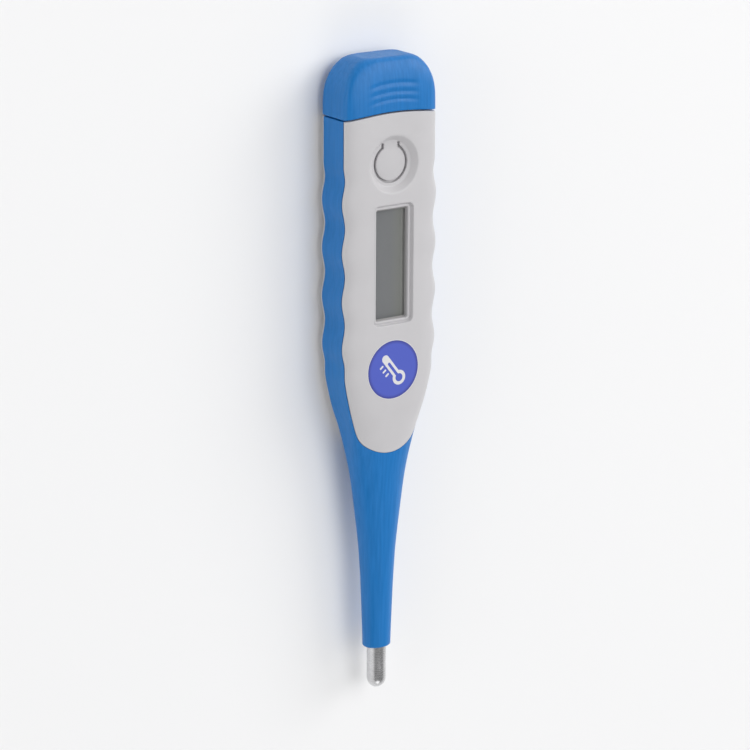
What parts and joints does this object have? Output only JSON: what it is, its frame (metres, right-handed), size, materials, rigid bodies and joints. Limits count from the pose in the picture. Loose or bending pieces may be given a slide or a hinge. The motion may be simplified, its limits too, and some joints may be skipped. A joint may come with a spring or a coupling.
{
  "type": "digital thermometer",
  "caption": "Digital thermometer with a flexible neck, steel probe tip, wide display, round push button, soft waved side grips and a pull-off battery cap.",
  "frame": {"origin": "middle of the bounding box at the resting face on the back", "axes": "+X along the length towards the battery cap, with the probe tip at -X; +Z the way the display faces; +Y across"},
  "size_m": [0.134, 0.0228, 0.0114],
  "materials": {
    "shell_plastic": "fine satin texture",
    "grip_elastomer": "soft satin",
    "probe_steel": "fine brushed",
    "spring_steel": "bright",
    "screw_steel": "zinc plated",
    "cell_steel": "nickel plated",
    "contact_brass": "plated",
    "buzzer_brass": "rolled",
    "clear_lens": "clear polished",
    "display_glass": "clear polished",
    "polariser_film": "smooth film",
    "reflector_film": "pearl film",
    "seal_foam": "foam tape",
    "seal_rubber": "moulded",
    "strip_rubber": "layered silicone",
    "inner_plastic": "moulded",
    "board_laminate": "solder mask",
    "chip_epoxy": "cured epoxy",
    "chip_ceramic": "sintered",
    "resistor_body": "sintered",
    "piezo_ceramic": "silvered",
    "thermistor_bead": "glass bead",
    "potting_resin": "cured resin",
    "lead_insulation": "extruded"
  },
  "bodies": {
    "housing": {"front_shell": "shell_plastic", "back_shell": "shell_plastic", "grip_sleeve": "grip_elastomer", "cap_seal": "seal_rubber", "window_lens": "clear_lens", "window_seal": "seal_foam", "lcd_polariser": "polariser_film", "lcd_front_glass": "display_glass", "lcd_rear_glass": "display_glass", "lcd_reflector": "reflector_film", "lcd_holder": "inner_plastic", "zebra_strip": "strip_rubber", "circuit_board": "board_laminate", "chip_cover": "chip_epoxy", "capacitor_1": "chip_ceramic", "capacitor_2": "chip_ceramic", "reference_resistor": "resistor_body", "switch_dome": "spring_steel", "buzzer_plate": "buzzer_brass", "buzzer_ceramic": "piezo_ceramic", "buzzer_spring": "spring_steel", "battery_tray": "inner_plastic", "coin_cell": "cell_steel", "contact_positive": "contact_brass", "contact_negative": "contact_brass", "board_screw_1": "screw_steel", "board_screw_2": "screw_steel", "board_screw_3": "screw_steel", "sensor_lead_root": "lead_insulation"},
    "button": {"power_button": "shell_plastic"},
    "cap": {"battery_cap": "grip_elastomer"},
    "neck_1": {"neck_segment_1": "grip_elastomer", "sensor_lead_1": "lead_insulation"},
    "neck_2": {"neck_segment_2": "grip_elastomer", "sensor_lead_2": "lead_insulation"},
    "neck_3": {"neck_segment_3": "grip_elastomer", "sensor_lead_3": "lead_insulation"},
    "neck_4": {"neck_segment_4": "grip_elastomer", "sensor_lead_4": "lead_insulation"},
    "neck_5": {"neck_segment_5": "grip_elastomer", "sensor_lead_5": "lead_insulation"},
    "neck_6": {"neck_segment_6": "grip_elastomer", "sensor_lead_6": "lead_insulation", "probe_tip": "probe_steel", "thermistor": "thermistor_bead", "tip_potting": "potting_resin"}
  },
  "joints": [
    {"name": "button_press", "type": "hinge", "parent": "housing", "child": "button", "pos_m": [0.0497, 0, 0.0099], "axis": [0, -1, 0], "range_deg": [0, 4], "stiffness_Nm_per_rad": 0.01},
    {"name": "cap_pull", "type": "slide", "parent": "housing", "child": "cap", "axis": [1, 0, 0], "range_m": [0, 0.014]},
    {"name": "neck_up_1", "type": "hinge", "parent": "housing", "child": "neck_1", "pos_m": [-0.026, 0, 0.0059], "axis": [0, 1, 0], "range_deg": [-15, 15], "stiffness_Nm_per_rad": 0.05},
    {"name": "neck_side_1", "type": "hinge", "parent": "neck_1", "child": "neck_2", "pos_m": [-0.031, 0, 0.0059], "axis": [0, 0, 1], "range_deg": [-10, 10], "stiffness_Nm_per_rad": 0.05},
    {"name": "neck_up_2", "type": "hinge", "parent": "neck_2", "child": "neck_3", "pos_m": [-0.036, 0, 0.0059], "axis": [0, 1, 0], "range_deg": [-15, 15]},
    {"name": "neck_side_2", "type": "hinge", "parent": "neck_3", "child": "neck_4", "pos_m": [-0.041, 0, 0.0059], "axis": [0, 0, 1], "range_deg": [-10, 10]},
    {"name": "neck_up_3", "type": "hinge", "parent": "neck_4", "child": "neck_5", "pos_m": [-0.046, 0, 0.0059], "axis": [0, 1, 0], "range_deg": [-15, 15]},
    {"name": "neck_side_3", "type": "hinge", "parent": "neck_5", "child": "neck_6", "pos_m": [-0.051, 0, 0.0059], "axis": [0, 0, 1], "range_deg": [-10, 10]}
  ],
  "couplings": [
    {"joint": "neck_up_2", "follows": "neck_up_1", "ratio": 1},
    {"joint": "neck_up_3", "follows": "neck_up_1", "ratio": 1},
    {"joint": "neck_side_2", "follows": "neck_side_1", "ratio": 1},
    {"joint": "neck_side_3", "follows": "neck_side_1", "ratio": 1}
  ]
}
